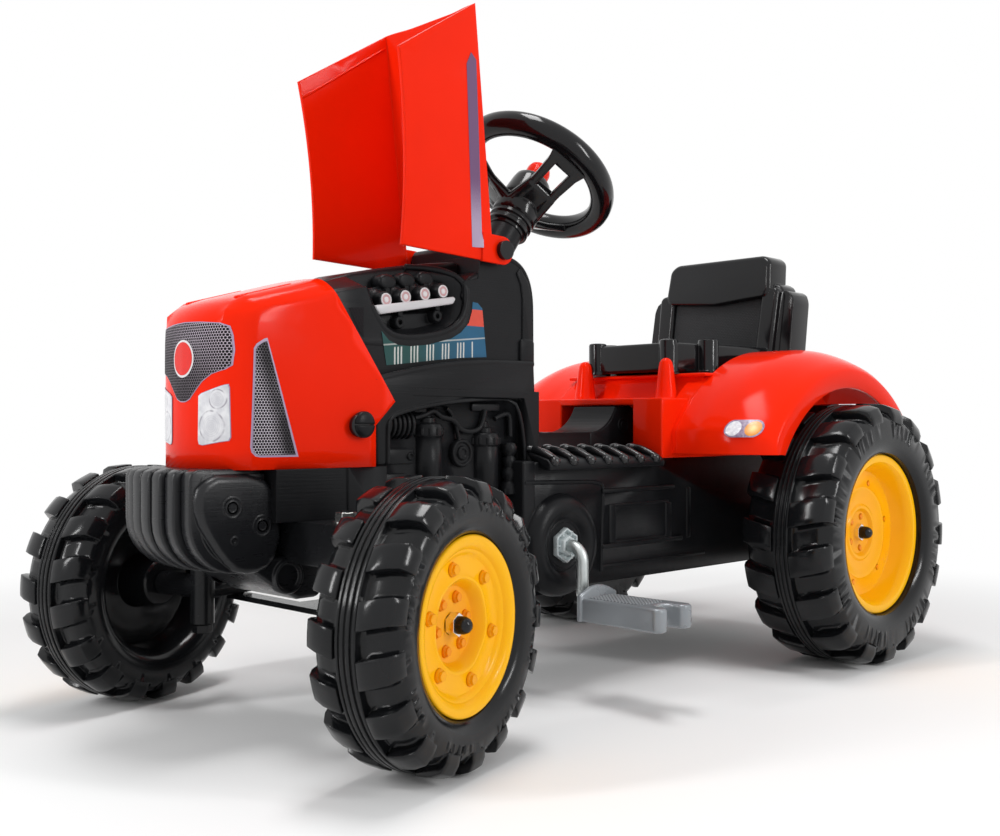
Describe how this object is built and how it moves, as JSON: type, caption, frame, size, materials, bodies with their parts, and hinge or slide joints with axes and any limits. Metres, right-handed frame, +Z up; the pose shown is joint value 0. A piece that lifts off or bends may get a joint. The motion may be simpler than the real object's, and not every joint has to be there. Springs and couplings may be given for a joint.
{
  "type": "pedal tractor ride-on toy",
  "caption": "Child's pedal tractor with a hinged open bonnet, steered front wheels, chain-driven rear axle, crank pedals, seat between rear fenders and a tow hitch.",
  "frame": {"origin": "on the ground, under the middle of the whole toy as it stands in the picture", "axes": "+Z up, -Y the way the tractor faces, +X the rider's left"},
  "size_m": [0.42, 0.7414, 0.5381],
  "materials": {
    "red_gloss": "gloss moulded",
    "black_satin": "satin, faintly brushed",
    "black_gloss": "gloss moulded",
    "wheel_black": "semi-gloss blow moulded",
    "yellow": "semi-gloss moulded",
    "grey_plastic": "metallic grey, satin",
    "zinc_steel": "zinc plated"
  },
  "bodies": {
    "frame": {"chassis": "black_satin", "belly_cover": "black_satin", "engine_housing": "black_satin", "engine_insert": "black_satin", "front_cowl": "red_gloss", "cowl_caps": "black_gloss", "front_weights": "black_satin", "front_axle_beam": "black_satin", "axle_beam_bolts": "zinc_steel", "kingpin_bolts": "zinc_steel", "kingpin_nuts": "zinc_steel", "column_tube": "black_satin", "bonnet_hinge_pins": "black_gloss", "crank_bushes": "grey_plastic", "rear_axle_bushes": "grey_plastic", "saddle": "red_gloss", "saddle_bolts": "zinc_steel", "seat": "black_gloss", "seat_bolts": "zinc_steel", "tow_hitch": "zinc_steel", "tow_hitch_bolts": "zinc_steel", "drive_chain": "zinc_steel"},
    "bonnet": {"bonnet": "red_gloss"},
    "steering_column": {"steering_wheel": "black_gloss", "steering_shaft": "zinc_steel", "column_screw": "zinc_steel"},
    "horn": {"horn_button": "red_gloss"},
    "left_knuckle": {"left_knuckle": "zinc_steel", "front_left_axle_nut": "zinc_steel", "front_left_axle_cap": "black_gloss"},
    "right_knuckle": {"right_knuckle": "zinc_steel", "front_right_axle_nut": "zinc_steel", "front_right_axle_cap": "black_gloss"},
    "tie_rod": {"tie_rod": "zinc_steel"},
    "front_left_wheel": {"front_left_wheel": "wheel_black", "front_left_disc": "yellow"},
    "front_right_wheel": {"front_right_wheel": "wheel_black", "front_right_disc": "yellow"},
    "rear_axle": {"rear_axle": "zinc_steel", "rear_sprocket": "zinc_steel", "rear_axle_spacers": "grey_plastic", "rear_axle_nuts": "zinc_steel", "rear_axle_caps": "black_gloss", "rear_left_wheel": "wheel_black", "rear_left_disc": "yellow"},
    "rear_right_wheel": {"rear_right_wheel": "wheel_black", "rear_right_disc": "yellow"},
    "crank": {"crankshaft": "zinc_steel", "crank_sprocket": "zinc_steel", "pedal_retainers": "zinc_steel"},
    "left_pedal": {"left_pedal": "grey_plastic"},
    "right_pedal": {"right_pedal": "grey_plastic"}
  },
  "joints": [
    {"name": "bonnet_hinge", "type": "hinge", "parent": "frame", "child": "bonnet", "pos_m": [0, -0.07835, 0.351], "axis": [1, 0, 0], "range_deg": [0, 92]},
    {"name": "steering_turn", "type": "hinge", "parent": "frame", "child": "steering_column", "pos_m": [0, 0.01665, 0.431], "axis": [0, 0.5878, 0.809], "range_deg": [-45, 15]},
    {"name": "horn_press", "type": "slide", "parent": "steering_column", "child": "horn", "axis": [0, 0.5878, 0.809], "range_m": [-0.003, 0], "stiffness_N_per_m": 250},
    {"name": "left_steer", "type": "hinge", "parent": "frame", "child": "left_knuckle", "pos_m": [0.0897, -0.25785, 0.0917], "axis": [0, 0, 1], "range_deg": [-45, 15]},
    {"name": "right_steer", "type": "hinge", "parent": "frame", "child": "right_knuckle", "pos_m": [-0.0897, -0.25785, 0.0917], "axis": [0, 0, 1], "range_deg": [-45, 15]},
    {"name": "tie_rod_pivot", "type": "hinge", "parent": "left_knuckle", "child": "tie_rod", "pos_m": [0.07935, -0.21921, 0.0917], "axis": [0, 0, 1], "range_deg": [-15, 45]},
    {"name": "front_left_spin", "type": "hinge", "parent": "left_knuckle", "child": "front_left_wheel", "pos_m": [0.15538, -0.24025, 0.0917], "axis": [0.9659, 0.2588, 0], "continuous": true},
    {"name": "front_right_spin", "type": "hinge", "parent": "right_knuckle", "child": "front_right_wheel", "pos_m": [-0.15538, -0.27545, 0.0917], "axis": [0.9659, 0.2588, 0], "continuous": true},
    {"name": "rear_axle_spin", "type": "hinge", "parent": "frame", "child": "rear_axle", "pos_m": [0, 0.25315, 0.117], "axis": [1, 0, 0], "continuous": true},
    {"name": "rear_right_spin", "type": "hinge", "parent": "frame", "child": "rear_right_wheel", "pos_m": [-0.1685, 0.25315, 0.117], "axis": [1, 0, 0], "continuous": true},
    {"name": "crank_spin", "type": "hinge", "parent": "frame", "child": "crank", "pos_m": [0, -0.02735, 0.118], "axis": [1, 0, 0], "continuous": true},
    {"name": "left_pedal_spin", "type": "hinge", "parent": "crank", "child": "left_pedal", "pos_m": [0.1445, -0.02735, 0.072], "axis": [1, 0, 0], "continuous": true},
    {"name": "right_pedal_spin", "type": "hinge", "parent": "crank", "child": "right_pedal", "pos_m": [-0.1445, -0.02735, 0.164], "axis": [1, 0, 0], "continuous": true}
  ],
  "couplings": [
    {"joint": "left_steer", "follows": "steering_turn", "ratio": 1},
    {"joint": "right_steer", "follows": "steering_turn", "ratio": 1},
    {"joint": "tie_rod_pivot", "follows": "steering_turn", "ratio": -1},
    {"joint": "crank_spin", "follows": "rear_axle_spin", "ratio": 0.66667}
  ]
}
